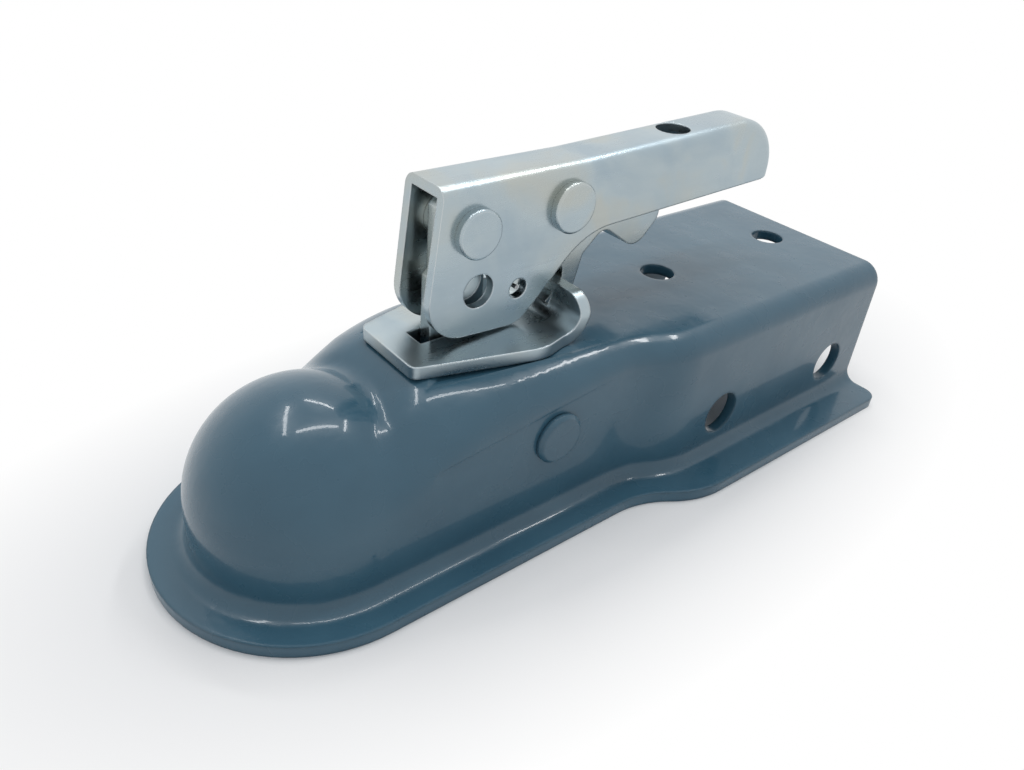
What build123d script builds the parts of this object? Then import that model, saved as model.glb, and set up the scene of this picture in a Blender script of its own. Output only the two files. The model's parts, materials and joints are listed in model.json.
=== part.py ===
"""Straight-tongue ball coupler with a lever latch, for a U-channel trailer tongue.

Frame: +X points forward to the towing vehicle, +Y to the left, +Z up. The origin lies on the axis
of the ball socket, in the plane of the flange's underside. All sizes are in millimetres.
"""
import math
import os

from build123d import *

# Ball socket and sheet
ball_diameter = 50.8
socket_clearance = 0.7
sheet = 3.2
ball_centre_z = 15.2
socket_radius = ball_diameter / 2 + socket_clearance
dome_radius = socket_radius + sheet

# Shell: narrow neck, widening step and the channel that takes the tongue
tongue_width = 63.5
tongue_clearance = 0.4
roof_z = 45.5
rear_length = 187.0
neck_length = 75.0
step_length = 26.0
shoulder_round = 6.5
neck_shoulder_round = 17.0
slope_top_back = 21.0
slope_base_back = 1.5
slope_round = 5.0
neck_lap = 4.0
crease_round = 4.0
channel_half = tongue_width / 2 + tongue_clearance + sheet
shoulder_inner_share = 0.9

# Flange round the open bottom
front_lip = 9.5
rear_lip = 13.2
flange_neck_length = 72.0
flange_step_length = 32.0
flange_corner = 5.0
flange_bend = 4.3
mouth_break = 0.25
flange_nose_radius = dome_radius + front_lip
flange_rear_half = channel_half + rear_lip

# Bolt holes in the channel
bolt_spacing = 54.8
top_hole_radius = 5.2
top_hole_back = 117.8
side_hole_radius = 6.7
side_hole_back = 115.2
side_hole_z = 15.3

# Fits
running_gap = 0.05
side_gap = 0.3
seat_gap = 0.3

# Latch plate, bent up at its rear into a striker tab
plate_thickness = 3.3
plate_front_back = 22.0
plate_front_half = 11.6
plate_wide_back = 55.0
plate_wide_half = 20.6
plate_corner = 2.5
tab_rear_back = 71.5
tab_half = 18.4
tab_height = 8.8
tab_corner = 6.0
tab_bend = 5.0
slot_front_back = 29.8
slot_rear_back = 53.0
slot_half = 3.2
window_half = 6.4
window_height = 5.6
window_drop = 0.7
roof_slot_margin = 0.4
deck_z = roof_z + plate_thickness
tab_front_back = tab_rear_back - plate_thickness

# Lever: a folded channel with a rounded closed end
lever_wall = 2.5
lever_half = 7.6
lever_bend = 3.2
lever_pivot_back = 41.4
lever_pivot_rise = 28.2
lever_top_rise = 39.7
lever_front_reach = 13.6
lever_front_lean = 4.4
toe_relief = 1.8
toe_round = 10.5
heel_reach = 15.0
heel_round = 8.0
throat_reach = 35.6
throat_rise = 21.0
throat_round = 22.0
handle_reach = 111.2
handle_rise = 2.6
handle_bend_reach = 33.6
handle_bend_round = 80.0
handle_end_round = 15.5
handle_corner_round = 4.0
lock_hole_radius = 4.4
lock_hole_drop = 15.5
lock_hole_shift = 1.7
spring_hole_radius = 2.7
spring_hole_reach = 14.1
spring_hole_rise = 10.4
handle_hole_radius = 4.8
handle_hole_reach = 71.4
lever_inner_half = lever_half - lever_wall
foot_z = deck_z + seat_gap
lever_pivot_x = -lever_pivot_back
lever_pivot_z = deck_z + lever_pivot_rise
lever_top_z = deck_z + lever_top_rise

# Rivets of the lever
lever_rivet_radius = 4.0
lever_rivet_head_radius = 6.1
trigger_rivet_radius = 3.4
trigger_rivet_head_radius = 6.6
rivet_head_height = 2.3
rivet_head_chamfer = 0.5
rivet_tail_height = 1.8

# Draw link between lever and clamp
link_thickness = 4.0
link_front_reach = 6.9
link_rear_reach = 7.4
link_top_round = 8.4
link_step_rise = 17.0
link_step = 1.3
link_pin_back = 37.5
link_pin_z = 30.8
link_pin_radius = 3.2
link_pin_play = 0.5
link_end_radius = 6.2
link_end_share = 0.95
link_pin_lip = 1.2
link_half = link_thickness / 2

# Ball clamp that hooks under the ball
clamp_pivot_back = 54.2
clamp_pivot_z = 27.4
clamp_half = 11.0
clamp_hub_radius = 8.5
clamp_ear_radius = 6.6
clamp_floor_gap = 1.0
clamp_heel = 12.5
clamp_pocket_gap = 0.9
clamp_slot_half = link_half + 0.6
clamp_slot_depth = 9.0
clamp_slot_front = 9.5
clamp_slot_rear = 11.5
clamp_rivet_radius = 5.0
clamp_rivet_head_radius = 7.0
clamp_rivet_head_height = 1.9
clamp_spacer_wall = 2.0

# Trigger in the lever's channel
trigger_half = 4.7
trigger_wall = 2.2
trigger_pivot_reach = 29.0
trigger_pivot_lift = 1.0
trigger_sleeve_radius = 4.4
trigger_boss_radius = 6.9
nose_gap = 0.7
nose_tip_reach = 0.7
nose_tip_height = 0.8
nose_ramp_slope = 0.9
nose_back_gap = 1.5
nose_length = 3.6
nose_round = 0.3
ramp_round = 1.0
notch_rise = 2.0
notch_round = 2.0
boss_skirt = 2.0
boss_share = 0.97
tail_top_reach = 36.0
tail_top_drop = 1.2
tail_reach = 37.4
tail_drop = 10.8
tail_round = 4.0
bump_reach = 29.5
bump_drop = 19.1
bump_round = 5.0
waist_reach = 16.0
waist_drop = 9.7
waist_round = 5.5
belly_reach = 9.2
belly_drop = 16.1
trough_margin = 12.0
trough_tail_reach = 33.8
trough_tail_drop = 10.0
trough_bump_reach = 29.3
trough_bump_drop = 15.0
trough_waist_reach = 16.5
trough_waist_drop = 6.4
trough_belly_reach = 8.0
trough_belly_drop = 11.5
trough_corner = 0.5
trough_round = 2.0
trough_bump_round = 2.5
trigger_pivot_x = lever_pivot_x - trigger_pivot_reach
trigger_pivot_z = lever_pivot_z + trigger_pivot_lift

# Trigger spring
spring_wire_radius = 0.55
spring_coil_radius = 5.3
spring_full_turns = 2
spring_coil_half = 1.65
spring_joint_gap = 0.2
spring_leg_angle = 121.0
spring_leg_reach = 14.5

os.makedirs("parts", exist_ok=True)


def save(part, name):
    """Label a finished piece and write it as its own STEP file."""
    part.label = name
    export_step(part, f"parts/{name}.step")


def stepped_outline(nose_half, rear_half, front_length, ease_length, rear):
    """Plan of a round-nosed strip that widens once in an S-curve towards the rear."""
    start_x = -front_length
    end_x = -front_length - ease_length
    middle = ((start_x + end_x) / 2, (nose_half + rear_half) / 2)
    with BuildSketch() as plan:
        with BuildLine() as left:
            RadiusArc((nose_half, 0), (0, nose_half), -nose_half)
            Line((0, nose_half), (start_x, nose_half))
            first = TangentArc((start_x, nose_half), middle, tangent=(-1, 0))
            TangentArc(middle, (end_x, rear_half), tangent=first % 1)
            Line((end_x, rear_half), (-rear, rear_half))
            Line((-rear, rear_half), (-rear, 0))
            Line((-rear, 0), (nose_half, 0))
        make_face()
        mirror(about=Plane.XZ)
    return plan.sketch


def arch_section(x, half, top, round_radius):
    """Section across the neck: upright walls under a roof with rounded shoulders."""
    with BuildSketch(Plane(origin=(x, 0, 0), x_dir=(0, 1, 0), z_dir=(1, 0, 0))) as arch:
        Rectangle(2 * half, top, align=(Align.CENTER, Align.MIN))
        fillet(arch.vertices().group_by(Axis.Z)[-1], round_radius)
    return arch.sketch


def shell_form(inset, rear):
    """Solid bounded by the shell's surface, moved inwards by the inset."""
    half = dome_radius - inset
    top = roof_z - inset
    rear_round = shoulder_round - inset * shoulder_inner_share
    neck_round = neck_shoulder_round - inset * shoulder_inner_share
    slope_angle = math.atan2(roof_z - ball_centre_z, slope_top_back - slope_base_back)
    slope_shift = inset / math.sin(slope_angle)
    slope_run = (roof_z - ball_centre_z) / math.tan(slope_angle)
    base_x = -slope_base_back - slope_shift
    plan = stepped_outline(half, channel_half - inset, neck_length, step_length, rear)

    with BuildPart() as channel:
        add(plan)
        extrude(amount=top)
        split(bisect_by=Plane(origin=(-neck_length, 0, 0), z_dir=(1, 0, 0)), keep=Keep.BOTTOM)
        roof_edges = channel.edges().filter_by_position(Axis.Z, top - 0.01, top + 0.01)
        fillet(roof_edges.filter_by(lambda edge: abs(edge.center().Y) > half / 2), rear_round)

    with BuildPart() as form:
        loft(
            [
                arch_section(-neck_length, half, top, rear_round),
                arch_section(neck_lap, half, top, neck_round),
            ],
            ruled=True,
        )
        with BuildSketch(Plane.XZ):
            with BuildLine():
                Polyline(
                    (base_x, ball_centre_z),
                    (base_x - slope_run, roof_z),
                    (base_x - slope_run, 2 * roof_z),
                    (dome_radius, 2 * roof_z),
                    (dome_radius, ball_centre_z),
                    close=True,
                )
            make_face()
        extrude(amount=2 * dome_radius, both=True, mode=Mode.SUBTRACT)
        slope = form.faces().filter_by(lambda face: face.normal_at().X > 0.3 and face.normal_at().Z > 0.3)
        rims = slope.sort_by(SortBy.AREA)[-1].edges()
        fillet(rims.filter_by(lambda edge: edge.center().Z > ball_centre_z + 1), slope_round)
        split(bisect_by=Plane(origin=(0, 0, 0), z_dir=(1, 0, 0)), keep=Keep.BOTTOM)
        add(plan)
        extrude(amount=ball_centre_z)
        add(channel.part)
        with BuildSketch(Plane.XZ):
            with BuildLine():
                Polyline((0, ball_centre_z + half), (0, 0), (half, 0), (half, ball_centre_z))
                RadiusArc((half, ball_centre_z), (0, ball_centre_z + half), -half)
            make_face()
        revolve(axis=Axis.Z)
        crease = form.faces().filter_by(GeomType.SPHERE).edges()
        behind = crease.filter_by(
            lambda edge: edge.center().X < -1 and edge.center().Z > ball_centre_z + 0.5
        )
        fillet(behind, crease_round)
    return form.part


# Room inside the shell, flared out below along the bend into the flange
with BuildPart() as hollow:
    add(shell_form(sheet, rear_length + sheet))
    inner_half = channel_half - sheet
    flare = flange_bend + sheet + 1
    with BuildSketch():
        add(stepped_outline(socket_radius, inner_half, neck_length, step_length, rear_length + sheet))
    extrude(amount=-sheet)
    with BuildSketch(Plane.XY.offset(-mouth_break)):
        add(
            stepped_outline(
                socket_radius + flare,
                inner_half + flare,
                neck_length,
                step_length,
                rear_length + sheet,
            )
        )
    extrude(amount=-sheet)
    mouth = hollow.edges().filter_by_position(Axis.Z, -mouth_break - 0.01, -mouth_break + 0.01).filter_by(
        lambda edge: edge.bounding_box().max.X < socket_radius + 0.1
        and edge.bounding_box().max.Y < inner_half + 0.1
        and edge.bounding_box().min.Y > -inner_half - 0.1
    )
    fillet(mouth, flange_bend + sheet)

# Shell of the coupler: dome, neck, channel and flange pressed from one sheet
with BuildPart() as coupler_body:
    add(shell_form(0, rear_length))
    with BuildSketch() as flange_plan:
        add(
            stepped_outline(
                flange_nose_radius,
                flange_rear_half,
                flange_neck_length,
                flange_step_length,
                rear_length,
            )
        )
        fillet(flange_plan.vertices().group_by(Axis.X)[0], flange_corner)
    extrude(amount=sheet)
    foot_edges = coupler_body.edges().filter_by_position(Axis.Z, sheet - 0.01, sheet + 0.01)
    foot_of_wall = foot_edges.filter_by(
        lambda edge: edge.bounding_box().max.X < dome_radius + 0.1
        and edge.bounding_box().max.Y < channel_half + 0.1
        and edge.bounding_box().min.Y > -channel_half - 0.1
    )
    fillet(foot_of_wall, flange_bend)
    add(hollow.part, mode=Mode.SUBTRACT)
    with Locations(*[(-top_hole_back - i * bolt_spacing, 0, roof_z) for i in range(2)]):
        Cylinder(top_hole_radius, 4 * sheet, mode=Mode.SUBTRACT)
    with Locations(*[(-side_hole_back - i * bolt_spacing, 0, side_hole_z) for i in range(2)]):
        Cylinder(side_hole_radius, 3 * channel_half, rotation=(90, 0, 0), mode=Mode.SUBTRACT)
    with Locations((-clamp_pivot_back, 0, clamp_pivot_z)):
        Cylinder(clamp_rivet_radius + running_gap, 3 * channel_half, rotation=(90, 0, 0), mode=Mode.SUBTRACT)
    with BuildSketch(Plane.XY.offset(roof_z + sheet)):
        with Locations((-(slot_front_back + slot_rear_back) / 2, 0)):
            slot_length = slot_rear_back - slot_front_back + 2 * roof_slot_margin
            RectangleRounded(slot_length, 2 * (slot_half + roof_slot_margin), slot_half)
    extrude(amount=-4 * sheet, mode=Mode.SUBTRACT)
save(coupler_body.part, "coupler_body")

# Latch plate: tapered strip on the roof, with its striker tab bent up at the rear
with BuildPart() as latch_plate:
    with BuildSketch(Plane.XZ):
        with BuildLine():
            tab_top_z = deck_z + tab_height
            outer_bend = tab_bend + plate_thickness
            bend_start = (-tab_rear_back + outer_bend, roof_z)
            bend_end = (-tab_rear_back, roof_z + outer_bend)
            Line((-plate_front_back, deck_z), (-plate_front_back, roof_z))
            Line((-plate_front_back, roof_z), bend_start)
            RadiusArc(bend_start, bend_end, outer_bend)
            Line(bend_end, (-tab_rear_back, tab_top_z))
            Line((-tab_rear_back, tab_top_z), (-tab_front_back, tab_top_z))
            Line((-tab_front_back, tab_top_z), (-tab_front_back, deck_z + tab_bend))
            RadiusArc((-tab_front_back, deck_z + tab_bend), (-tab_front_back + tab_bend, deck_z), -tab_bend)
            Line((-tab_front_back + tab_bend, deck_z), (-plate_front_back, deck_z))
        make_face()
    extrude(amount=2 * plate_wide_half, both=True)
    with BuildSketch():
        with BuildLine():
            taper_end = -tab_front_back + tab_bend
            half_plan = [
                (-plate_front_back, 0),
                (-plate_front_back, plate_front_half),
                (-plate_wide_back, plate_wide_half),
                (taper_end, tab_half),
                (-tab_rear_back, tab_half),
            ]
            FilletPolyline(*half_plan, radius=[plate_corner, 2 * tab_corner, tab_corner])
            Polyline(half_plan[-1], (-tab_rear_back, 0), half_plan[0])
        make_face()
        mirror(about=Plane.XZ)
    extrude(amount=2 * roof_z, mode=Mode.INTERSECT)
    tab_ends = latch_plate.edges().filter_by(Axis.X).group_by(Axis.Z)[-1]
    fillet(tab_ends, tab_corner)
    with BuildSketch(Plane.XY.offset(deck_z)):
        with Locations((-(slot_front_back + slot_rear_back) / 2, 0)):
            RectangleRounded(slot_rear_back - slot_front_back, 2 * slot_half, slot_half / 6)
    extrude(amount=-2 * plate_thickness, mode=Mode.SUBTRACT)
    with BuildSketch(Plane.YZ.offset(-tab_rear_back - plate_thickness)):
        with Locations((0, deck_z - window_drop)):
            Rectangle(2 * window_half, window_height + window_drop, align=(Align.CENTER, Align.MIN))
    extrude(amount=2 * plate_thickness + window_drop, mode=Mode.SUBTRACT)
save(latch_plate.part, "latch_plate")

# Lever outline, counted from its pivot and the deck
lever_toe_x = lever_pivot_x + lever_front_reach
lever_top_front = (lever_toe_x - lever_front_lean, lever_top_z)
lever_toe = (lever_toe_x, foot_z + toe_relief)
lever_heel = (lever_pivot_x - heel_reach, foot_z)
lever_throat = (lever_pivot_x - throat_reach, deck_z + throat_rise)
handle_end_x = lever_pivot_x - handle_reach
handle_bottom = (handle_end_x, lever_throat[1] + handle_rise)
handle_top = (handle_end_x, lever_top_z + handle_rise)
handle_bend = (lever_pivot_x - handle_bend_reach, lever_top_z)
spring_hole = (lever_pivot_x - spring_hole_reach, deck_z + spring_hole_rise)
lock_hole = (lever_pivot_x - lock_hole_shift, lever_pivot_z - lock_hole_drop)

# Lever: walls and web folded from one blank, open below and in front
with BuildPart() as lever:
    with BuildSketch(Plane.XZ):
        with BuildLine():
            FilletPolyline(
                lever_top_front,
                lever_toe,
                lever_heel,
                lever_throat,
                handle_bottom,
                radius=[toe_round, heel_round, throat_round],
            )
            FilletPolyline(
                handle_bottom,
                handle_top,
                handle_bend,
                lever_top_front,
                radius=[handle_end_round, handle_bend_round],
            )
        make_face()
    extrude(amount=lever_half, both=True)
    side_edges = lever.edges().filter_by(lambda edge: abs(edge.center().Y) > lever_half - 0.01)
    top_edges = side_edges.filter_by(
        lambda edge: edge.center().Z > handle_bottom[1] and edge.center().X < lever_top_front[0] - lever_bend
    )
    fillet(top_edges.filter_by(lambda edge: edge.center().Z > handle_top[1] - handle_end_round), lever_bend)
    with BuildSketch(Plane.XZ):
        with BuildLine():
            inner_end_x = handle_end_x + lever_wall
            inner_drop = lever_wall
            FilletPolyline(
                (inner_end_x, roof_z),
                (inner_end_x, handle_top[1] - inner_drop),
                (handle_bend[0], lever_top_z - inner_drop),
                (0, lever_top_z - inner_drop),
                radius=[handle_end_round - lever_wall, handle_bend_round],
            )
            Polyline((0, lever_top_z - inner_drop), (0, roof_z), (inner_end_x, roof_z))
        make_face()
    extrude(amount=lever_inner_half, both=True, mode=Mode.SUBTRACT)
    with BuildSketch(Plane.XZ):
        with BuildLine():
            corner_x = handle_end_x + handle_corner_round
            corner_z = handle_bottom[1] + handle_corner_round
            RadiusArc((corner_x, handle_bottom[1]), (handle_end_x, corner_z), handle_corner_round)
            Polyline(
                (handle_end_x, corner_z),
                (handle_end_x - lever_wall, corner_z),
                (handle_end_x - lever_wall, handle_bottom[1] - lever_wall),
                (corner_x, handle_bottom[1] - lever_wall),
                (corner_x, handle_bottom[1]),
            )
        make_face()
    extrude(amount=2 * lever_half, both=True, mode=Mode.SUBTRACT)
    cross_holes = [
        (lever_pivot_x, lever_pivot_z, lever_rivet_radius + running_gap),
        (trigger_pivot_x, trigger_pivot_z, trigger_rivet_radius + running_gap),
        (lock_hole[0], lock_hole[1], lock_hole_radius),
        (spring_hole[0], spring_hole[1], spring_hole_radius),
    ]
    for hole_x, hole_z, hole_radius in cross_holes:
        with Locations((hole_x, 0, hole_z)):
            Cylinder(hole_radius, 4 * lever_half, rotation=(90, 0, 0), mode=Mode.SUBTRACT)
    with Locations((lever_pivot_x - handle_hole_reach, 0, lever_top_z)):
        Cylinder(handle_hole_radius, 4 * lever_wall, mode=Mode.SUBTRACT)
save(lever.part, "lever")


def headed_rivet(x, z, shank_radius, grip_half, head_radius, head_height, tail_height, edge):
    """Rivet across the coupler: flat head on the left side, closed tail on the right side."""
    with BuildPart(Plane(origin=(x, 0, z), x_dir=(1, 0, 0), z_dir=(0, 1, 0))) as rivet:
        Cylinder(shank_radius, 2 * grip_half)
        with Locations((0, 0, grip_half)):
            Cylinder(head_radius, head_height, align=(Align.CENTER, Align.CENTER, Align.MIN))
        with Locations((0, 0, -grip_half)):
            Cylinder(head_radius, tail_height, align=(Align.CENTER, Align.CENTER, Align.MAX))
        rims = rivet.edges().filter_by(GeomType.CIRCLE).sort_by(Axis.Y)
        chamfer([rims[0], rims[-1]], edge)
    return rivet.part


save(
    headed_rivet(
        lever_pivot_x,
        lever_pivot_z,
        lever_rivet_radius,
        lever_half,
        lever_rivet_head_radius,
        rivet_head_height,
        rivet_tail_height,
        rivet_head_chamfer,
    ),
    "lever_rivet",
)
save(
    headed_rivet(
        trigger_pivot_x,
        trigger_pivot_z,
        trigger_rivet_radius,
        lever_half,
        trigger_rivet_head_radius,
        rivet_head_height,
        rivet_tail_height,
        rivet_head_chamfer,
    ),
    "trigger_rivet",
)
save(
    headed_rivet(
        -clamp_pivot_back,
        clamp_pivot_z,
        clamp_rivet_radius,
        dome_radius,
        clamp_rivet_head_radius,
        clamp_rivet_head_height,
        clamp_rivet_head_height,
        clamp_rivet_head_height / 2,
    ),
    "clamp_rivet",
)


def spacer_pair(x, z, bore_radius, outer_radius, inner_y, outer_y):
    """Two tubes on a cross rivet, one each side of the piece that they keep centred."""
    with BuildPart() as pair:
        for side in (1, -1):
            start = Plane(origin=(x, side * inner_y, z), x_dir=(1, 0, 0), z_dir=(0, side, 0))
            with BuildSketch(start):
                Circle(outer_radius)
                Circle(bore_radius, mode=Mode.SUBTRACT)
            extrude(amount=outer_y - inner_y)
    return pair.part


save(
    spacer_pair(
        lever_pivot_x,
        lever_pivot_z,
        lever_rivet_radius + running_gap,
        lever_rivet_head_radius,
        link_half + side_gap,
        lever_inner_half,
    ),
    "link_spacers",
)
save(
    spacer_pair(
        -clamp_pivot_back,
        clamp_pivot_z,
        clamp_rivet_radius + running_gap,
        clamp_rivet_radius + clamp_spacer_wall,
        clamp_half + side_gap,
        socket_radius,
    ),
    "clamp_spacers",
)

# Draw link: flat bar from the lever's rivet through plate and roof to the clamp
link_front_x = lever_pivot_x + link_front_reach
link_rear_x = lever_pivot_x - link_rear_reach
link_front_top = (link_front_x, lever_pivot_z + math.sqrt(link_top_round ** 2 - link_front_reach ** 2))
link_rear_top = (link_rear_x, lever_pivot_z + math.sqrt(link_top_round ** 2 - link_rear_reach ** 2))
link_pin_x = -link_pin_back
with BuildPart() as draw_link:
    with BuildSketch(Plane.XZ):
        with BuildLine():
            step_z = deck_z + link_step_rise
            FilletPolyline(
                link_front_top,
                (link_front_x, step_z),
                (link_front_x + link_step, step_z - link_step),
                (link_front_x + link_step, link_pin_z + link_end_radius),
                (link_pin_x + link_end_radius, link_pin_z),
                (link_pin_x + link_end_radius, link_pin_z - link_end_radius),
                (link_pin_x - link_end_radius, link_pin_z - link_end_radius),
                (link_pin_x - link_end_radius, link_pin_z),
                (link_rear_x, deck_z + seat_gap),
                link_rear_top,
                radius=[
                    link_step / 4,
                    link_step / 4,
                    link_step,
                    link_step,
                    link_end_share * link_end_radius,
                    link_end_share * link_end_radius,
                    link_step,
                    link_end_radius,
                ],
            )
            ThreePointArc(link_rear_top, (lever_pivot_x, lever_pivot_z + link_top_round), link_front_top)
        make_face()
    extrude(amount=link_half, both=True)
    link_holes = [
        (lever_pivot_x, lever_pivot_z, lever_rivet_radius + running_gap),
        (lock_hole[0], lock_hole[1], lock_hole_radius + seat_gap),
        (link_pin_x, link_pin_z, link_pin_radius + link_pin_play),
    ]
    for hole_x, hole_z, hole_radius in link_holes:
        with Locations((hole_x, 0, hole_z)):
            Cylinder(hole_radius, 4 * link_thickness, rotation=(90, 0, 0), mode=Mode.SUBTRACT)
save(draw_link.part, "draw_link")

# Ball clamp: block with a spherical pocket, hung on the cross rivet and drawn up by the link
clamp_pivot_x = -clamp_pivot_back
pocket_radius = ball_diameter / 2 + clamp_pocket_gap
tip_drop = ball_centre_z - clamp_floor_gap
clamp_tip_x = -math.sqrt(pocket_radius ** 2 - tip_drop ** 2)
with BuildPart() as ball_clamp:
    with BuildSketch(Plane.XZ):
        with BuildLine():
            Polyline(
                (clamp_pivot_x, clamp_pivot_z - clamp_hub_radius),
                (clamp_tip_x - clamp_heel, clamp_floor_gap),
                (clamp_tip_x, clamp_floor_gap),
                (clamp_tip_x, ball_centre_z),
                (link_pin_x + clamp_ear_radius, link_pin_z),
                (link_pin_x, link_pin_z + clamp_ear_radius),
                (clamp_pivot_x, clamp_pivot_z + clamp_hub_radius),
                close=True,
            )
        make_face()
        with Locations((clamp_pivot_x, clamp_pivot_z)):
            Circle(clamp_hub_radius)
        with Locations((link_pin_x, link_pin_z)):
            Circle(clamp_ear_radius)
    extrude(amount=clamp_half, both=True)
    with Locations((0, 0, ball_centre_z)):
        Sphere(pocket_radius, mode=Mode.SUBTRACT)
    with BuildSketch(Plane.XZ):
        with Locations((link_pin_x, link_pin_z)):
            Circle(clamp_slot_depth)
            Rectangle(clamp_slot_front, 2 * clamp_slot_depth, align=(Align.MIN, Align.MIN))
            Rectangle(clamp_slot_rear, 2 * clamp_slot_depth, align=(Align.MAX, Align.MIN))
    extrude(amount=clamp_slot_half, both=True, mode=Mode.SUBTRACT)
    with Locations((clamp_pivot_x, 0, clamp_pivot_z)):
        Cylinder(clamp_rivet_radius + running_gap, 4 * clamp_half, rotation=(90, 0, 0), mode=Mode.SUBTRACT)
    with Locations((link_pin_x, 0, link_pin_z)):
        Cylinder(link_pin_radius + running_gap, 4 * clamp_half, rotation=(90, 0, 0), mode=Mode.SUBTRACT)
save(ball_clamp.part, "ball_clamp")

save(
    headed_rivet(
        link_pin_x,
        link_pin_z,
        link_pin_radius,
        clamp_half,
        link_pin_radius + link_pin_lip,
        rivet_tail_height,
        rivet_tail_height,
        rivet_head_chamfer,
    ),
    "link_pin",
)

# Trigger: folded pawl with a finger bump, and a nose that stands in the tab's window
nose_floor_z = deck_z + nose_gap
nose_tip_x = -tab_front_back + nose_tip_reach
nose_back_x = -tab_rear_back - nose_back_gap
ramp_top_z = nose_floor_z + nose_tip_height + (nose_tip_x - nose_back_x) * nose_ramp_slope
boss_front_x = trigger_pivot_x + trigger_boss_radius
boss_rear_x = trigger_pivot_x - trigger_boss_radius
boss_top_z = trigger_pivot_z + trigger_boss_radius
with BuildPart() as trigger:
    with BuildSketch(Plane.XZ):
        with BuildLine():
            FilletPolyline(
                (nose_tip_x, nose_floor_z),
                (nose_tip_x, nose_floor_z + nose_tip_height),
                (nose_back_x, ramp_top_z),
                (nose_back_x, tab_top_z + notch_rise),
                (boss_front_x, trigger_pivot_z - trigger_boss_radius - boss_skirt),
                (boss_front_x, boss_top_z),
                (boss_rear_x, boss_top_z),
                (trigger_pivot_x - tail_top_reach, trigger_pivot_z - tail_top_drop),
                (trigger_pivot_x - tail_reach, trigger_pivot_z - tail_drop),
                (trigger_pivot_x - bump_reach, trigger_pivot_z - bump_drop),
                (trigger_pivot_x - waist_reach, trigger_pivot_z - waist_drop),
                (trigger_pivot_x - belly_reach, trigger_pivot_z - belly_drop),
                (nose_back_x - nose_length, nose_floor_z),
                radius=[
                    nose_round,
                    ramp_round,
                    notch_round,
                    tail_round,
                    boss_share * trigger_boss_radius,
                    boss_share * trigger_boss_radius,
                    tail_round,
                    tail_round,
                    bump_round,
                    waist_round,
                    tail_round,
                    notch_round,
                    nose_round,
                ],
                close=True,
            )
        make_face()
    extrude(amount=trigger_half, both=True)
    with BuildSketch(Plane.XZ):
        with BuildLine():
            trough_front_x = trigger_pivot_x + trough_margin
            trough_top_z = trigger_pivot_z + trough_margin
            trough_tail_x = trigger_pivot_x - trough_tail_reach
            trough_floor_z = trigger_pivot_z - trough_belly_drop
            FilletPolyline(
                (trough_front_x, trough_top_z),
                (trough_tail_x, trough_top_z),
                (trough_tail_x, trigger_pivot_z - trough_tail_drop),
                (trigger_pivot_x - trough_bump_reach, trigger_pivot_z - trough_bump_drop),
                (trigger_pivot_x - trough_waist_reach, trigger_pivot_z - trough_waist_drop),
                (trigger_pivot_x - trough_belly_reach, trough_floor_z),
                (trough_front_x, trough_floor_z),
                radius=[trough_corner, trough_round, trough_bump_round, waist_round, trough_round],
            )
            Line((trough_front_x, trough_floor_z), (trough_front_x, trough_top_z))
        make_face()
    extrude(amount=trigger_half - trigger_wall, both=True, mode=Mode.SUBTRACT)
    with Locations((trigger_pivot_x, 0, trigger_pivot_z)):
        bore_radius = trigger_sleeve_radius + running_gap
        Cylinder(bore_radius, 4 * trigger_half, rotation=(90, 0, 0), mode=Mode.SUBTRACT)
save(trigger.part, "trigger")

# Sleeve that the trigger turns on, held between the lever's walls by its rivet
with BuildPart() as trigger_sleeve:
    with BuildSketch(Plane.XZ.offset(-lever_inner_half)):
        with Locations((trigger_pivot_x, trigger_pivot_z)):
            Circle(trigger_sleeve_radius)
            Circle(trigger_rivet_radius + running_gap, mode=Mode.SUBTRACT)
    extrude(amount=2 * lever_inner_half)
save(trigger_sleeve.part, "trigger_sleeve")

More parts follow.
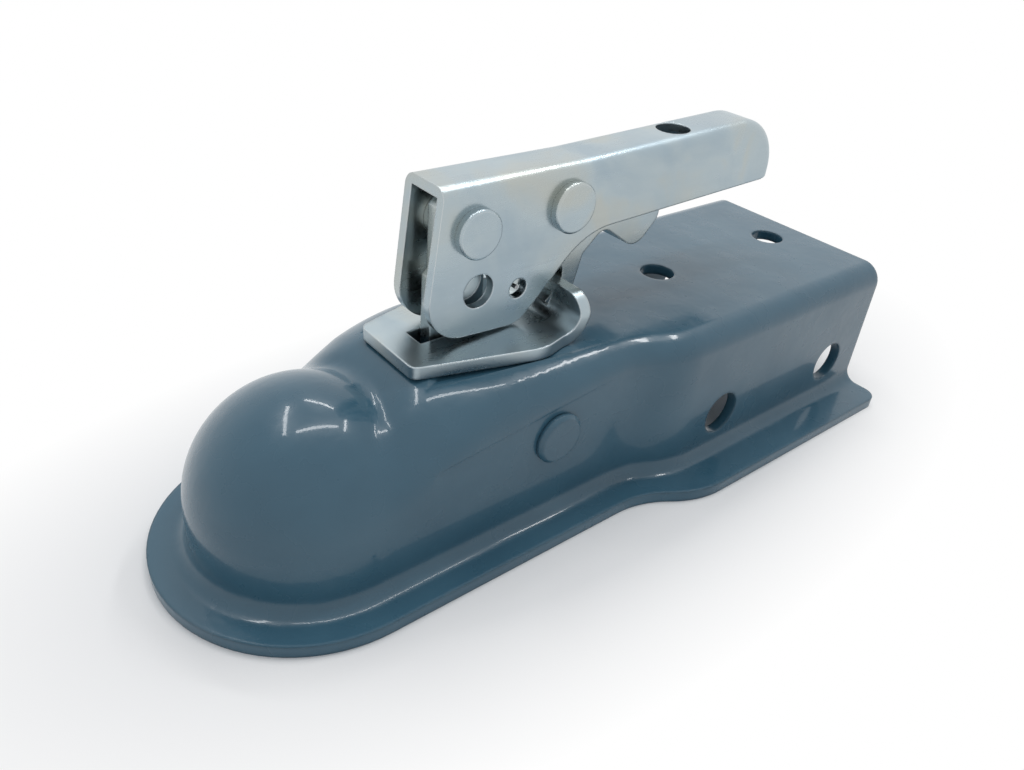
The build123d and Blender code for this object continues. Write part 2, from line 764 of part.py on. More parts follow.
# Trigger spring: coil round the sleeve, one leg hooked in the lever's wall, one on the trigger's floor
hook_dx = spring_hole[0] - trigger_pivot_x
hook_dz = spring_hole[1] - trigger_pivot_z
hook_distance = math.hypot(hook_dx, hook_dz)
hook_angle = math.atan2(hook_dz, hook_dx) + math.acos(spring_coil_radius / hook_distance)
hook_start = (
    trigger_pivot_x + spring_coil_radius * math.cos(hook_angle),
    spring_coil_half,
    trigger_pivot_z + spring_coil_radius * math.sin(hook_angle),
)
hook_corner = (spring_hole[0], spring_coil_half, spring_hole[1])
hook_end = (spring_hole[0], lever_half - lever_wall / 4, spring_hole[1])
coil_start = Plane(
    origin=(trigger_pivot_x, spring_coil_half, trigger_pivot_z),
    x_dir=(math.cos(hook_angle), 0, math.sin(hook_angle)),
    z_dir=(0, -1, 0),
)
with BuildPart() as trigger_spring:
    coil_turns = spring_full_turns + math.radians(spring_leg_angle) / math.tau - hook_angle / math.tau
    with BuildLine() as coil:
        coil_length = 2 * spring_coil_half
        coil_pitch = coil_length / coil_turns
        turns = Helix(coil_pitch, coil_length, spring_coil_radius, mode=Mode.PRIVATE)
        add(coil_start.location * turns)
    coil_path = coil.wire()
    with BuildSketch(Plane(origin=coil_path @ 0, z_dir=coil_path % 0)):
        Circle(spring_wire_radius)
    sweep(path=coil_path)
    hook_direction = Vector(math.sin(hook_angle), 0, -math.cos(hook_angle))
    hook_root = Vector(*hook_start) + hook_direction * spring_joint_gap
    with BuildLine() as hook:
        FilletPolyline(hook_root, hook_corner, hook_end, radius=2 * spring_wire_radius)
    hook_path = hook.wire()
    with BuildSketch(Plane(origin=hook_path @ 0, z_dir=hook_path % 0)):
        Circle(spring_wire_radius)
    sweep(path=hook_path)
    leg_angle = math.radians(spring_leg_angle)
    leg_direction = Vector(-math.sin(leg_angle), 0, math.cos(leg_angle))
    leg_start = coil_path @ 1
    leg_root = leg_start + leg_direction * spring_joint_gap
    with BuildLine() as leg:
        Line(leg_root, leg_start + leg_direction * spring_leg_reach)
    with BuildSketch(Plane(origin=leg_root, z_dir=leg_direction)):
        Circle(spring_wire_radius)
    sweep(path=leg.wire())
    with Locations(hook_start, leg_start):
        Sphere(spring_wire_radius + spring_joint_gap / 2)
save(trigger_spring.part, "trigger_spring")

print("parts written")
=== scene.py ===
"""Looks of a straight-tongue trailer coupler: glossy blue-grey shell and bright zinc latch.

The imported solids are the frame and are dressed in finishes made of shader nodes. The shell is shown
by a finer skin over its solid, softened round the front of the neck as a press leaves it. Sizes are
in metres, in the frame's own axes.
"""

import json
import logging
import math
from dataclasses import dataclass, field
from enum import Enum

import bmesh
import bpy
from mathutils import Matrix, Vector

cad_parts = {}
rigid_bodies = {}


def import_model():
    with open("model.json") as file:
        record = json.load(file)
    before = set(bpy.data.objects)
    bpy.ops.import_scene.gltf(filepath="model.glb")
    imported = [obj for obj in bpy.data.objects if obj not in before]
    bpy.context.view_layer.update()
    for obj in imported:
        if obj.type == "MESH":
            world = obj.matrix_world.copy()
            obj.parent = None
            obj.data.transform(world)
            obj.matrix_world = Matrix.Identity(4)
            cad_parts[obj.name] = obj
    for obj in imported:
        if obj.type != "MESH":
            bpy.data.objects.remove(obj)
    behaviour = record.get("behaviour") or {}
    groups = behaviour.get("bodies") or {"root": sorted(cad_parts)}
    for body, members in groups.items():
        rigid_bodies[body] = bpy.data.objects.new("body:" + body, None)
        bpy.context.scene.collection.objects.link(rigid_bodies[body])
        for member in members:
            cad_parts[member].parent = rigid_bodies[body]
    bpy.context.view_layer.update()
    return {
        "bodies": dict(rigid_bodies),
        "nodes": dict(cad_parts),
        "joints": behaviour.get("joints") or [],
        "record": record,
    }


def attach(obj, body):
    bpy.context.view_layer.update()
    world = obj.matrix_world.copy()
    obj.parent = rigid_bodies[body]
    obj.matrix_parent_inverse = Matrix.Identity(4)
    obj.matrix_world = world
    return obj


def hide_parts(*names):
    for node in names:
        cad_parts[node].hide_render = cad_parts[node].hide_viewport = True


LOG = logging.getLogger("coupler")
PHOTO_WIDTH = 1024
ROUND_SAMPLES = 6
MASK_SAMPLES = 4
WHITE = (1.0, 1.0, 1.0, 1.0)

Socket = bpy.types.NodeSocket
Colour = tuple[float, float, float]
Triple = tuple[float, float, float]
Span = tuple[float, float]


class Slot(Enum):
    """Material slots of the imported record."""

    PAINT = "paint"
    ZINC = "zinc"
    CAST = "cast"
    SPRING = "spring"


class Graph:
    """Shader node tree of one material, with short ways to add and join nodes."""

    def __init__(self, name: str) -> None:
        """Start a material whose tree holds a Principled shader and an output.

        Args:
            name: Name of the material.
        """
        self.material: bpy.types.Material = bpy.data.materials.new(name)
        self.material.use_nodes = True
        self.tree: bpy.types.NodeTree = self.material.node_tree
        self.tree.nodes.clear()
        self.output = self.tree.nodes.new("ShaderNodeOutputMaterial")
        self.shader = self.tree.nodes.new("ShaderNodeBsdfPrincipled")
        self.join(self.shader.outputs["BSDF"], self.output.inputs["Surface"])

    def join(self, source: Socket, target: Socket) -> None:
        """Link one socket to another.

        Args:
            source: Output socket.
            target: Input socket.
        """
        self.tree.links.new(source, target)

    def places(self) -> Socket:
        """Return the object coordinates, which are the frame's own metres."""
        return self.tree.nodes.new("ShaderNodeTexCoord").outputs["Object"]

    def stretched(self, scale: Triple, turn: Triple) -> Socket:
        """Return object coordinates turned and stretched.

        Args:
            scale: Factor along each turned axis.
            turn: Turn about X, Y and Z in radians.

        Returns:
            The mapped coordinates.
        """
        mapping = self.tree.nodes.new("ShaderNodeMapping")
        mapping.inputs["Scale"].default_value = scale
        mapping.inputs["Rotation"].default_value = turn
        self.join(self.places(), mapping.inputs["Vector"])
        return mapping.outputs["Vector"]

    def noise(
        self,
        scale: float,
        detail: float = 2.0,
        roughness: float = 0.5,
        distortion: float = 0.0,
        vector: Socket | None = None,
    ) -> Socket:
        """Return a cloud of values from 0 to 1.

        Args:
            scale: Clouds per metre.
            detail: Octaves of finer clouds.
            roughness: Weight of the finer clouds.
            distortion: Swirl of the clouds.
            vector: Coordinates, or the object's own where it is left out.

        Returns:
            The noise factor.
        """
        node = self.tree.nodes.new("ShaderNodeTexNoise")
        node.inputs["Scale"].default_value = scale
        node.inputs["Detail"].default_value = detail
        node.inputs["Roughness"].default_value = roughness
        node.inputs["Distortion"].default_value = distortion
        self.join(vector if vector is not None else self.places(), node.inputs["Vector"])
        return node.outputs["Fac"]

    def spread(self, value: Socket, source: Span, target: Span = (0.0, 1.0)) -> Socket:
        """Map a value from one span to another, clamped to it.

        Args:
            value: Value to map.
            source: Values that become the ends of the target.
            target: Results at the ends of the source.

        Returns:
            The mapped value.
        """
        node = self.tree.nodes.new("ShaderNodeMapRange")
        node.inputs["From Min"].default_value = source[0]
        node.inputs["From Max"].default_value = source[1]
        node.inputs["To Min"].default_value = target[0]
        node.inputs["To Max"].default_value = target[1]
        self.join(value, node.inputs["Value"])
        return node.outputs["Result"]

    def math(self, operation: str, first: Socket, second: Socket | float) -> Socket:
        """Join two values by a math operation.

        Args:
            operation: Name of the operation.
            first: First value.
            second: Second value, a socket or a number.

        Returns:
            The result.
        """
        node = self.tree.nodes.new("ShaderNodeMath")
        node.operation = operation
        node.use_clamp = True
        self.join(first, node.inputs[0])
        if isinstance(second, float):
            node.inputs[1].default_value = second
        else:
            self.join(second, node.inputs[1])
        return node.outputs["Value"]

    def ramp(self, value: Socket, stops: tuple[tuple[float, Colour], ...]) -> Socket:
        """Turn a value into a colour along a row of colour stops.

        Args:
            value: Value from 0 to 1.
            stops: Place and colour of each stop.

        Returns:
            The colour.
        """
        node = self.tree.nodes.new("ShaderNodeValToRGB")
        elements = node.color_ramp.elements
        while len(elements) < len(stops):
            elements.new(0.5)
        for element, (place, colour) in zip(elements, stops):
            element.position = place
            element.color = (*colour, 1.0)
        self.join(value, node.inputs["Fac"])
        return node.outputs["Color"]

    def mixed(self, factor: Socket, first: Socket | Colour, second: Socket | Colour) -> Socket:
        """Mix two colours.

        Args:
            factor: Share of the second colour.
            first: Colour at factor 0.
            second: Colour at factor 1.

        Returns:
            The mixed colour.
        """
        node = self.tree.nodes.new("ShaderNodeMix")
        node.data_type = "RGBA"
        self.join(factor, node.inputs["Factor"])
        for name, colour in (("A", first), ("B", second)):
            socket = next(s for s in node.inputs if s.name == name and s.type == "RGBA")
            if isinstance(colour, tuple):
                socket.default_value = (*colour, 1.0)
            else:
                self.join(colour, socket)
        return next(s for s in node.outputs if s.type == "RGBA")

    def rounded(self, radius: float) -> Socket:
        """Return a normal that turns softly round each edge.

        Args:
            radius: Radius of the rounding.

        Returns:
            The normal.
        """
        bevel = self.tree.nodes.new("ShaderNodeBevel")
        bevel.samples = ROUND_SAMPLES
        bevel.inputs["Radius"].default_value = radius
        return bevel.outputs["Normal"]

    def from_point(self, point: Triple, squeeze: Triple) -> Socket:
        """Return the distance from a point, counted in squeezed coordinates.

        Args:
            point: The point in squeezed metres.
            squeeze: Factor along each axis.

        Returns:
            The distance in squeezed metres.
        """
        gap = self.tree.nodes.new("ShaderNodeVectorMath")
        gap.operation = "DISTANCE"
        gap.inputs[1].default_value = point
        self.join(self.stretched(squeeze, (0.0, 0.0, 0.0)), gap.inputs[0])
        return gap.outputs["Value"]

    def edge_mask(self, width: float, bend: Span) -> Socket:
        """Return a mask that is 1 along convex and concave edges.

        Args:
            width: Reach of the mask from an edge.
            bend: Bend of the normal at which the mask starts and is full.

        Returns:
            The mask.
        """
        bevel = self.tree.nodes.new("ShaderNodeBevel")
        bevel.samples = MASK_SAMPLES
        bevel.inputs["Radius"].default_value = width
        geometry = self.tree.nodes.new("ShaderNodeNewGeometry")
        dot = self.tree.nodes.new("ShaderNodeVectorMath")
        dot.operation = "DOT_PRODUCT"
        self.join(bevel.outputs["Normal"], dot.inputs[0])
        self.join(geometry.outputs["Normal"], dot.inputs[1])
        return self.spread(dot.outputs["Value"], (1.0 - bend[0], 1.0 - bend[1]))

    def bump(self, height: Socket, relief: Span, normal: Socket | None = None) -> Socket:
        """Return a normal bent by a height.

        Args:
            height: Height from 0 to 1.
            relief: Share of the bump that shows, and the metres that a height of 1 stands for.
            normal: Normal to start from.

        Returns:
            The bent normal.
        """
        node = self.tree.nodes.new("ShaderNodeBump")
        node.inputs["Strength"].default_value = relief[0]
        node.inputs["Distance"].default_value = relief[1]
        self.join(height, node.inputs["Height"])
        if normal is not None:
            self.join(normal, node.inputs["Normal"])
        return node.outputs["Normal"]

    def feed(self, **sockets: Socket) -> None:
        """Join sockets to the shader's colour, roughness and normal.

        Args:
            sockets: Sockets under the names colour, roughness and normal.
        """
        names = {"colour": "Base Color", "roughness": "Roughness", "normal": "Normal"}
        for name, socket in sockets.items():
            self.join(socket, self.shader.inputs[names[name]])


@dataclass(frozen=True)
class PaintFinish:
    """Glossy blue-grey enamel, sprayed on pressed sheet."""

    deep: Colour = (0.034, 0.100, 0.150)
    pale: Colour = (0.044, 0.118, 0.172)
    thin_edge: Colour = (0.100, 0.170, 0.215)
    roughness: Span = (0.24, 0.34)
    specular: float = 0.3
    coat: float = 0.45
    coat_roughness: float = 0.07
    edge_radius: float = 0.0014
    edge_width: float = 0.0007
    edge_bend: Span = (0.03, 0.30)
    cloud_scale: float = 38.0
    cloud_span: Span = (0.35, 0.65)
    wear_scale: float = 420.0
    wear_span: Span = (0.40, 0.75)
    wear_share: Span = (0.0, 0.7)
    gloss_scale: float = 90.0
    gloss_span: Span = (0.3, 0.7)
    wave_scale: float = 85.0
    wave_relief: Span = (0.22, 0.0012)
    peel_scale: float = 210.0
    peel_swirl: float = 0.3
    peel_relief: Span = (0.20, 0.0006)
    grain_scale: float = 1500.0
    grain_relief: Span = (0.05, 0.0001)

    def build(self) -> bpy.types.Material:
        """Return the enamel's material."""
        graph = Graph("blue_grey_enamel")
        clouds = graph.noise(self.cloud_scale, detail=3.0)
        shade = graph.mixed(graph.spread(clouds, self.cloud_span), self.deep, self.pale)
        edge = graph.edge_mask(self.edge_width, self.edge_bend)
        patches = graph.spread(graph.noise(self.wear_scale, detail=3.0), self.wear_span, self.wear_share)
        worn = graph.math("MULTIPLY", edge, patches)
        gloss = graph.spread(graph.noise(self.gloss_scale, detail=4.0), self.gloss_span, self.roughness)
        peel = graph.noise(self.peel_scale, detail=1.0, distortion=self.peel_swirl)
        grain = graph.noise(self.grain_scale, detail=2.0)
        wave = graph.noise(self.wave_scale, detail=0.0)
        swell = graph.bump(wave, self.wave_relief, graph.rounded(self.edge_radius))
        bent = graph.bump(peel, self.peel_relief, swell)
        graph.feed(
            colour=graph.mixed(worn, shade, self.thin_edge),
            roughness=gloss,
            normal=graph.bump(grain, self.grain_relief, bent),
        )
        graph.shader.inputs["Specular IOR Level"].default_value = self.specular
        graph.shader.inputs["Coat Weight"].default_value = self.coat
        graph.shader.inputs["Coat Roughness"].default_value = self.coat_roughness
        return graph.material


@dataclass(frozen=True)
class ZincFinish:
    """Bright zinc plating with cloudy passivation tints and fine scratches."""

    cool: Colour = (0.35, 0.43, 0.48)
    clear: Colour = (0.41, 0.48, 0.51)
    straw: Colour = (0.45, 0.48, 0.46)
    edge: Colour = (0.62, 0.65, 0.66)
    metallic: float = 1.0
    roughness: Span = (0.20, 0.40)
    edge_radius: float = 0.0006
    edge_width: float = 0.0005
    edge_bend: Span = (0.03, 0.35)
    tint_scale: float = 46.0
    tint_swirl: float = 0.6
    tint_stops: Triple = (0.34, 0.52, 0.70)
    smear_scale: float = 34.0
    smear_share: float = 0.75
    smear_weight: float = 0.6
    drawn_scale: float = 900.0
    drawn_share: float = 0.25
    drawn_stretch: Triple = (0.07, 1.0, 1.0)
    drawn_turn: Triple = (0.0, 0.12, 0.0)
    haze_span: Span = (0.32, 0.68)
    grain_scale: float = 1400.0
    grain_relief: Span = (0.07, 0.00008)
    swell_scale: float = 120.0
    swell_relief: Span = (0.05, 0.0005)
    scratch_span: Span = (0.60, 0.74)
    scratch_relief: Span = (0.10, 0.00005)

    def build(self) -> bpy.types.Material:
        """Return the plating's material."""
        graph = Graph("bright_zinc_plating")
        tints = graph.noise(self.tint_scale, detail=4.0, distortion=self.tint_swirl)
        colour = graph.ramp(tints, tuple(zip(self.tint_stops, (self.cool, self.clear, self.straw))))
        edge = graph.edge_mask(self.edge_width, self.edge_bend)
        smear = graph.noise(self.smear_scale, detail=5.0, roughness=self.smear_weight)
        drawn = graph.stretched(self.drawn_stretch, self.drawn_turn)
        along = graph.noise(self.drawn_scale, detail=3.0, vector=drawn)
        cloud = graph.math("MULTIPLY", smear, self.smear_share)
        haze = graph.math("ADD", cloud, graph.math("MULTIPLY", along, self.drawn_share))
        grain = graph.noise(self.grain_scale, detail=2.0)
        bent = graph.bump(grain, self.grain_relief, graph.rounded(self.edge_radius))
        swell = graph.noise(self.swell_scale, detail=1.0)
        waved = graph.bump(swell, self.swell_relief, bent)
        scratch = graph.spread(along, self.scratch_span)
        graph.feed(
            colour=graph.mixed(edge, colour, self.edge),
            roughness=graph.spread(haze, self.haze_span, self.roughness),
            normal=graph.bump(scratch, self.scratch_relief, waved),
        )
        graph.shader.inputs["Metallic"].default_value = self.metallic
        return graph.material


@dataclass(frozen=True)
class MetalFinish:
    """Bare metal with cloudy colour, a grainy skin and brighter edges."""

    name: str
    dark: Colour
    light: Colour
    edge: Colour
    metallic: float
    roughness: Span
    edge_width: float
    cloud_scale: float
    cloud_detail: float
    dull_scale: float
    skin_scale: float
    skin_detail: float
    skin_relief: Span
    edge_bend: Span = (0.03, 0.3)
    dull_span: Span = (0.3, 0.7)

    def build(self) -> bpy.types.Material:
        """Return the metal's material."""
        graph = Graph(self.name)
        clouds = graph.noise(self.cloud_scale, detail=self.cloud_detail)
        colour = graph.mixed(clouds, self.dark, self.light)
        edge = graph.edge_mask(self.edge_width, self.edge_bend)
        skin = graph.noise(self.skin_scale, detail=self.skin_detail)
        graph.feed(
            colour=graph.mixed(edge, colour, self.edge),
            roughness=graph.spread(graph.noise(self.dull_scale), self.dull_span, self.roughness),
            normal=graph.bump(skin, self.skin_relief),
        )
        graph.shader.inputs["Metallic"].default_value = self.metallic
        return graph.material


CASTING = MetalFinish(
    name="dark_casting",
    dark=(0.16, 0.165, 0.17),
    light=(0.27, 0.275, 0.28),
    edge=(0.42, 0.43, 0.44),
    metallic=0.9,
    roughness=(0.42, 0.62),
    edge_width=0.0006,
    cloud_scale=160.0,
    cloud_detail=5.0,
    dull_scale=300.0,
    skin_scale=1100.0,
    skin_detail=4.0,
    skin_relief=(0.35, 0.0003),
)
SPRING_WIRE = MetalFinish(
    name="drawn_spring_wire",
    dark=(0.30, 0.31, 0.32),
    light=(0.48, 0.49, 0.50),
    edge=(0.56, 0.57, 0.58),
    metallic=1.0,
    roughness=(0.25, 0.42),
    edge_width=0.0002,
    cloud_scale=500.0,
    cloud_detail=3.0,
    dull_scale=900.0,
    skin_scale=2600.0,
    skin_detail=2.0,
    skin_relief=(0.15, 0.0001),
)


@dataclass
class Finishes:
    """The finishes that all pieces share, one for each material slot."""

    by_slot: dict[Slot, bpy.types.Material] = field(default_factory=dict)

    def build(self) -> None:
        """Make each finish once."""
        makers = {
            Slot.PAINT: PaintFinish(),
            Slot.ZINC: ZincFinish(),
            Slot.CAST: CASTING,
            Slot.SPRING: SPRING_WIRE,
        }
        for slot, maker in makers.items():
            self.by_slot[slot] = maker.build()


@dataclass
class Piece:
    """One solid of the frame and the way it is dressed."""

    node: str
    slot: Slot

    def dress(self, frame: dict, finishes: Finishes) -> None:
        """Give the solid its finish.

        Args:
            frame: The loaded frame.
            finishes: Finishes by slot.
        """
        solid: bpy.types.Object = frame["nodes"][self.node]
        solid.data.materials.clear()
        solid.data.materials.append(finishes.by_slot[self.slot])
        LOG.info("%s: dressed as %s, %d faces", self.node, self.slot.value, len(solid.data.polygons))


def eased(value: float, low: float, high: float) -> float:
    """Return 0 below low, 1 above high and a soft step between.

    Args:
        value: Value to judge.
        low: Where the step starts.
        high: Where it ends.

    Returns:
        The share from 0 to 1.
    """
    share = min(max((value - low) / (high - low), 0.0), 1.0)
    return share * share * (3.0 - 2.0 * share)


def joined(first: float, second: float, reach: float) -> float:
    """Return the lower of two distances, with a rounded change from one to the other.

    Args:
        first: First distance.
        second: Second distance.
        reach: Width of the rounded change.

    Returns:
        The joined distance.
    """
    if reach <= 0.0:
        return min(first, second)
    share = max(reach - abs(first - second), 0.0) / reach
    return min(first, second) - share * share * reach / 4.0


@dataclass
class PressedShell(Piece):
    """Shell whose dome, valley and shoulders run into each other as the press leaves them."""

    name: str = "pressed_shell"
    body: str = "shell"
    half_width: float = 0.0293
    dome_centre: float = 0.0152
    roof: float = 0.0455
    slope_foot: float = 0.0166
    slope_top: float = -0.022
    shoulder_rear: float = 0.0065
    shoulder_middle: float = 0.016
    shoulder_front: float = 0.0291
    shoulder_start: float = -0.075
    corner_power: float = 2.35
    rim_round: float = 0.004
    rim_side_round: float = 0.010
    rim_side: Span = (0.010, 0.026)
    valley_round: float = 0.0036
    valley_height: Span = (0.014, 0.030)
    core_height: float = 0.012
    zone_rear: Span = (-0.046, -0.036)
    zone_low: Span = (0.009, 0.015)
    zone_front: float = 0.016
    search: Span = (0.5, 1.4)
    search_steps: int = 24
    grid: float = 0.0012
    passes: int = 9
    weld: float = 1e-6
    crease_angle: float = math.radians(30.0)

    def shoulder(self, x: float) -> float:
        """Return the radius of the shoulders at a place along the neck.

        Args:
            x: Place along the coupler.

        Returns:
            The radius in metres.
        """
        if x < self.slope_top:
            share = (x - self.shoulder_start) / (self.slope_top - self.shoulder_start)
            return self.shoulder_rear + share * (self.shoulder_middle - self.shoulder_rear)
        share = min((x - self.slope_top) / -self.slope_top, 1.0)
        return self.shoulder_middle + share * (self.shoulder_front - self.shoulder_middle)

    def outside(self, x: float, y: float, z: float) -> float:
        """Return how far a point lies outside the pressing, below 0 inside.

        Args:
            x: Place along the coupler.
            y: Place across it.
            z: Height.

        Returns:
            The signed distance in metres.
        """
        side = abs(y)
        radius = self.shoulder(x)
        across = side - (self.half_width - radius)
        above = z - (self.roof - radius)
        power = self.corner_power
        corner = (max(across, 0.0) ** power + max(above, 0.0) ** power) ** (1.0 / power)
        arch = corner + min(max(across, above), 0.0) - radius
        rise = self.roof - self.dome_centre
        run = self.slope_foot - self.slope_top
        slope = ((x - self.slope_top) * rise + (z - self.roof) * run) / math.hypot(rise, run)
        rim = self.rim_round + self.rim_side_round * eased(side, *self.rim_side)
        neck = -joined(-arch, -slope, rim)
        dome = math.hypot(x, y, max(z - self.dome_centre, 0.0)) - self.half_width
        return joined(neck, dome, self.valley_round * eased(z, *self.valley_height))

    def weight(self, place: Vector) -> float:
        """Return the share of the softening that a place of the skin takes.

        Args:
            place: Point on the outer skin.

        Returns:
            The share from 0 to 1.
        """
        return eased(place.x, *self.zone_rear) * eased(place.z, *self.zone_low)

    def softened(self, place: Vector) -> Vector:
        """Return a point of the skin moved to the pressing's soft form.

        Args:
            place: Point on the outer skin.

        Returns:
            The moved point.
        """
        core = Vector((place.x, 0.0, self.core_height))
        ray = place - core
        length = ray.length
        ray.normalize()
        low, high = (share * length for share in self.search)
        if self.outside(*(core + ray * low)) > 0.0 or self.outside(*(core + ray * high)) < 0.0:
            return place
        for _ in range(self.search_steps):
            middle = (low + high) / 2.0
            if self.outside(*(core + ray * middle)) > 0.0:
                high = middle
            else:
                low = middle
        return place.lerp(core + ray * low, self.weight(place))

    def in_zone(self, vertex: bmesh.types.BMVert) -> bool:
        """Tell whether a vertex is on the outer skin round the neck's front.

        Args:
            vertex: Vertex with an up-to-date normal.

        Returns:
            True for a vertex that is softened.
        """
        place = vertex.co
        if not self.zone_rear[0] < place.x < self.zone_front or place.z < self.zone_low[0]:
            return False
        return vertex.normal.dot(place - Vector((place.x, 0.0, self.core_height))) > 0.0

    def refine(self, mesh: bmesh.types.BMesh) -> None:
        """Split the long edges of the zone until the skin can bend there.

        Args:
            mesh: Mesh to refine.
        """
        for _ in range(self.passes):
            mesh.normal_update()
            edges = [
                edge
                for edge in mesh.edges
                if edge.calc_length() > self.grid and all(self.in_zone(vertex) for vertex in edge.verts)
            ]
            if not edges:
                return
            bmesh.ops.subdivide_edges(mesh, edges=edges, cuts=1)
            bmesh.ops.triangulate(mesh, faces=[face for face in mesh.faces if len(face.verts) > 3])

    def soften(self, mesh: bmesh.types.BMesh) -> int:
        """Move the outer skin of the zone to its soft form and mark which edges stay sharp.

        Args:
            mesh: Refined mesh of the solid.

        Returns:
            The number of moved points.
        """
        mesh.normal_update()
        zone = [vertex for vertex in mesh.verts if self.in_zone(vertex)]
        places = [self.softened(vertex.co) for vertex in zone]
        for vertex, place in zip(zone, places):
            vertex.co = place
        mesh.normal_update()
        for face in mesh.faces:
            face.smooth = True
        moved = set(zone)
        for edge in mesh.edges:
            bend = edge.calc_face_angle(0.0)
            edge.smooth = bend < self.crease_angle or all(vertex in moved for vertex in edge.verts)
        return len(zone)

    def dress(self, frame: dict, finishes: Finishes) -> None:
        """Build the soft skin from the solid and give it its finish.

        Args:
            frame: The loaded frame.
            finishes: Finishes by slot.
        """
        solid: bpy.types.Object = frame["nodes"][self.node]
        work = bmesh.new()
        work.from_mesh(solid.data)
        bmesh.ops.remove_doubles(work, verts=work.verts, dist=self.weld)
        self.refine(work)
        moved = self.soften(work)
        mesh = bpy.data.meshes.new(self.name)
        work.to_mesh(mesh)
        work.free()
        skin = bpy.data.objects.new(self.name, mesh)
        bpy.context.scene.collection.objects.link(skin)
        mesh.materials.append(finishes.by_slot[self.slot])
        normals = skin.modifiers.new("even_normals", "WEIGHTED_NORMAL")
        normals.keep_sharp = True
        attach(skin, self.body)
        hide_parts(self.node)
        LOG.info("%s: soft skin of %d faces, %d moved points", self.node, len(mesh.polygons), moved)


@dataclass
class Assembly:
    """A group of pieces that belong together on the coupler."""

    name: str
    pieces: list[Piece] = field(default_factory=list)

    def build(self, frame: dict, finishes: Finishes) -> None:
        """Dress every piece of the group.

        Args:
            frame: The loaded frame.
            finishes: Finishes by slot.
        """
        LOG.info("group %s", self.name)
        for piece in self.pieces:
            piece.dress(frame, finishes)


@dataclass(frozen=True)
class Strip:
    """Narrow tube lamp that hangs level, given by the plan places of its ends."""

    name: str
    start: Span
    end: Span


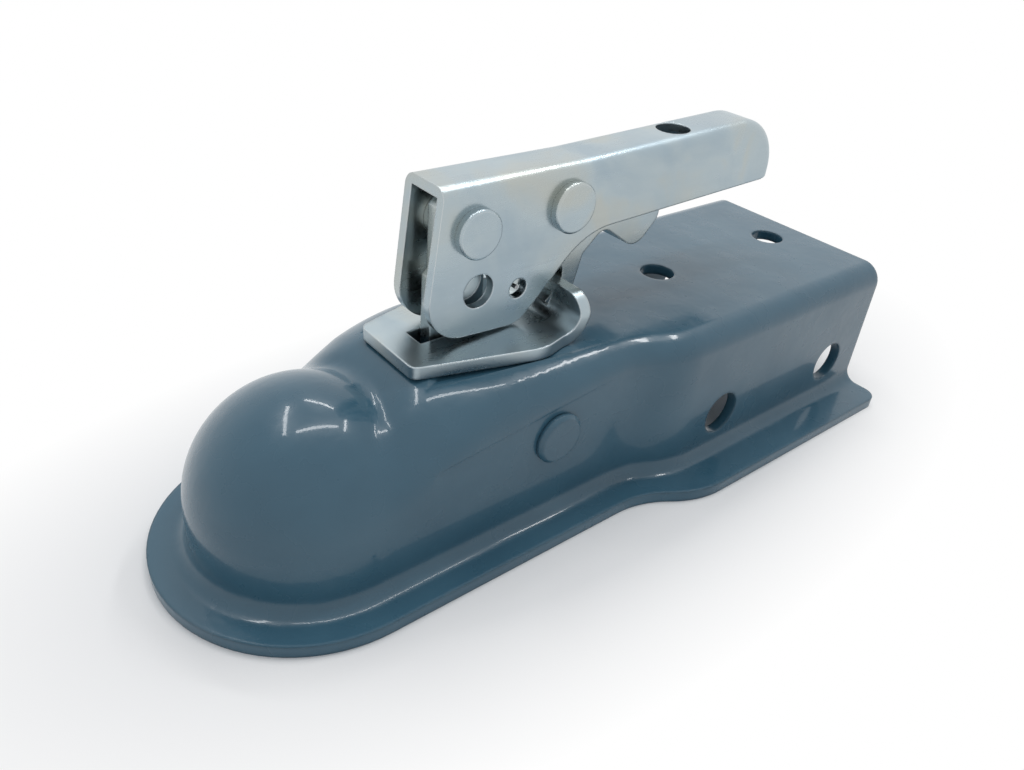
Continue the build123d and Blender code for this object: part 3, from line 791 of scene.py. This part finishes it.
@dataclass
class Studio:
    """Floor, lamps, sky and camera."""

    camera_place: Triple = (0.0697, 0.1488, 0.1544)
    camera_aim: Triple = (-0.06343, 0.0, 0.02327)
    camera_roll: float = 0.097
    focal_pixels: float = 846.35
    sensor: float = 36.0
    near_clip: float = 0.01
    floor_half: float = 3.0
    floor_squeeze: Triple = (0.45, 1.0, 1.0)
    floor_centre: Triple = (-0.034, 0.0, 0.0)
    floor_fade: Span = (0.054, 0.090)
    floor_shade: float = 0.88
    floor_roughness: float = 0.9
    floor_specular: float = 0.1
    sky_tint: Colour = (0.95, 0.97, 1.0)
    sky_level: float = 0.55
    strip_power: float = 1.8
    strip_width: float = 0.05
    strip_height: float = 1.03
    strips: tuple[Strip, ...] = (
        Strip("front_strip", (-0.085, -0.705), (0.257, -0.153)),
        Strip("left_strip", (0.094, -0.09), (-0.541, 0.044)),
        Strip("rear_strip", (-0.62, 0.165), (-0.863, -0.265)),
        Strip("right_strip", (-0.363, -0.72), (-0.673, -0.346)),
    )

    def build(self) -> None:
        """Set up everything round the object."""
        self.add_floor()
        self.add_sky()
        self.add_lamps()
        self.add_camera()
        bpy.context.scene.view_settings.view_transform = "Standard"

    def add_floor(self) -> None:
        """Lay a pale floor under the coupler, which turns plain white away from it."""
        mesh = bpy.data.meshes.new("floor")
        half = self.floor_half
        corners = [(-half, -half, 0.0), (half, -half, 0.0), (half, half, 0.0), (-half, half, 0.0)]
        mesh.from_pydata(corners, [], [(0, 1, 2, 3)])
        floor = bpy.data.objects.new("floor", mesh)
        bpy.context.scene.collection.objects.link(floor)
        graph = Graph("pale_floor")
        shade = self.floor_shade
        graph.shader.inputs["Base Color"].default_value = (shade, shade, shade, 1.0)
        graph.shader.inputs["Roughness"].default_value = self.floor_roughness
        graph.shader.inputs["Specular IOR Level"].default_value = self.floor_specular
        white = graph.tree.nodes.new("ShaderNodeEmission")
        white.inputs["Color"].default_value = WHITE
        gap = graph.from_point(self.floor_centre, self.floor_squeeze)
        reach = graph.spread(gap, self.floor_fade)
        blend = graph.tree.nodes.new("ShaderNodeMixShader")
        graph.join(graph.math("MULTIPLY", reach, self.seen_factor(graph.tree)), blend.inputs["Fac"])
        graph.join(graph.shader.outputs["BSDF"], blend.inputs[1])
        graph.join(white.outputs["Emission"], blend.inputs[2])
        graph.join(blend.outputs["Shader"], graph.output.inputs["Surface"])
        mesh.materials.append(graph.material)

    @staticmethod
    def seen_factor(tree: bpy.types.NodeTree) -> Socket:
        """Return 1 for rays that show the surroundings, straight or in a mirror or glass.

        Args:
            tree: Node tree that gets the nodes.

        Returns:
            The factor.
        """
        path = tree.nodes.new("ShaderNodeLightPath")
        total = path.outputs["Is Camera Ray"]
        for name in ("Is Glossy Ray", "Is Transmission Ray"):
            node = tree.nodes.new("ShaderNodeMath")
            node.operation = "ADD"
            node.use_clamp = True
            tree.links.new(total, node.inputs[0])
            tree.links.new(path.outputs[name], node.inputs[1])
            total = node.outputs["Value"]
        return total

    def add_sky(self) -> None:
        """Make the surroundings white to the eye and in mirrors, and a softer grey as light."""
        world = bpy.data.worlds.new("studio_sky")
        bpy.context.scene.world = world
        world.use_nodes = True
        nodes = world.node_tree.nodes
        links = world.node_tree.links
        nodes.clear()
        output = nodes.new("ShaderNodeOutputWorld")
        seen = nodes.new("ShaderNodeBackground")
        seen.inputs["Color"].default_value = WHITE
        light = nodes.new("ShaderNodeBackground")
        light.inputs["Color"].default_value = (*self.sky_tint, 1.0)
        light.inputs["Strength"].default_value = self.sky_level
        mix = nodes.new("ShaderNodeMixShader")
        links.new(self.seen_factor(world.node_tree), mix.inputs["Fac"])
        links.new(light.outputs["Background"], mix.inputs[1])
        links.new(seen.outputs["Background"], mix.inputs[2])
        links.new(mix.outputs["Shader"], output.inputs["Surface"])

    def add_strip(self, strip: Strip) -> None:
        """Hang one tube lamp above the coupler.

        Args:
            strip: The lamp's name and ends.
        """
        start, end = Vector(strip.start), Vector(strip.end)
        along = end - start
        lamp = bpy.data.lights.new(strip.name, "AREA")
        lamp.shape = "RECTANGLE"
        lamp.size = along.length
        lamp.size_y = self.strip_width
        lamp.energy = self.strip_power
        holder = bpy.data.objects.new(strip.name, lamp)
        bpy.context.scene.collection.objects.link(holder)
        holder.location = (*((start + end) / 2.0), self.strip_height)
        holder.rotation_euler = (0.0, 0.0, math.atan2(along.y, along.x))

    def add_lamps(self) -> None:
        """Hang the tube lamps in a ring, which the dome mirrors as a bright frame."""
        for strip in self.strips:
            self.add_strip(strip)

    def add_camera(self) -> None:
        """Put the camera where the photograph was taken from."""
        place = Vector(self.camera_place)
        ahead = (Vector(self.camera_aim) - place).normalized()
        level = ahead.cross(Vector((0.0, 0.0, 1.0))).normalized()
        upright = level.cross(ahead)
        turn_cos, turn_sin = math.cos(self.camera_roll), math.sin(self.camera_roll)
        right = level * turn_cos + upright * turn_sin
        up = upright * turn_cos - level * turn_sin
        axes = Matrix((right, up, -ahead)).transposed()
        data = bpy.data.cameras.new("camera")
        data.sensor_fit = "HORIZONTAL"
        data.sensor_width = self.sensor
        data.lens = self.focal_pixels * self.sensor / PHOTO_WIDTH
        data.clip_start = self.near_clip
        camera = bpy.data.objects.new("camera", data)
        bpy.context.scene.collection.objects.link(camera)
        camera.matrix_world = Matrix.Translation(place) @ axes.to_4x4()
        bpy.context.scene.camera = camera


def plated(*nodes: str) -> list[Piece]:
    """Return zinc-plated pieces.

    Args:
        nodes: Names of the solids.

    Returns:
        One piece for each solid.
    """
    return [Piece(node, Slot.ZINC) for node in nodes]


def coupler_groups() -> list[Assembly]:
    """Return the coupler's groups of pieces in the order they are dressed."""
    return [
        Assembly("shell", [PressedShell("coupler_body", Slot.PAINT), Piece("clamp_rivet", Slot.PAINT)]),
        Assembly("latch plate", plated("latch_plate")),
        Assembly("lever", plated("lever", "lever_rivet", "link_spacers", "draw_link")),
        Assembly(
            "trigger",
            [*plated("trigger", "trigger_rivet", "trigger_sleeve"), Piece("trigger_spring", Slot.SPRING)],
        ),
        Assembly("ball clamp", [Piece("ball_clamp", Slot.CAST), *plated("link_pin", "clamp_spacers")]),
    ]


def main() -> None:
    """Dress the coupler and set up the studio."""
    logging.basicConfig(level=logging.INFO, format="%(name)s: %(message)s")
    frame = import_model()
    finishes = Finishes()
    finishes.build()
    for group in coupler_groups():
        group.build(frame, finishes)
    Studio().build()


if __name__ == "__main__":
    main()
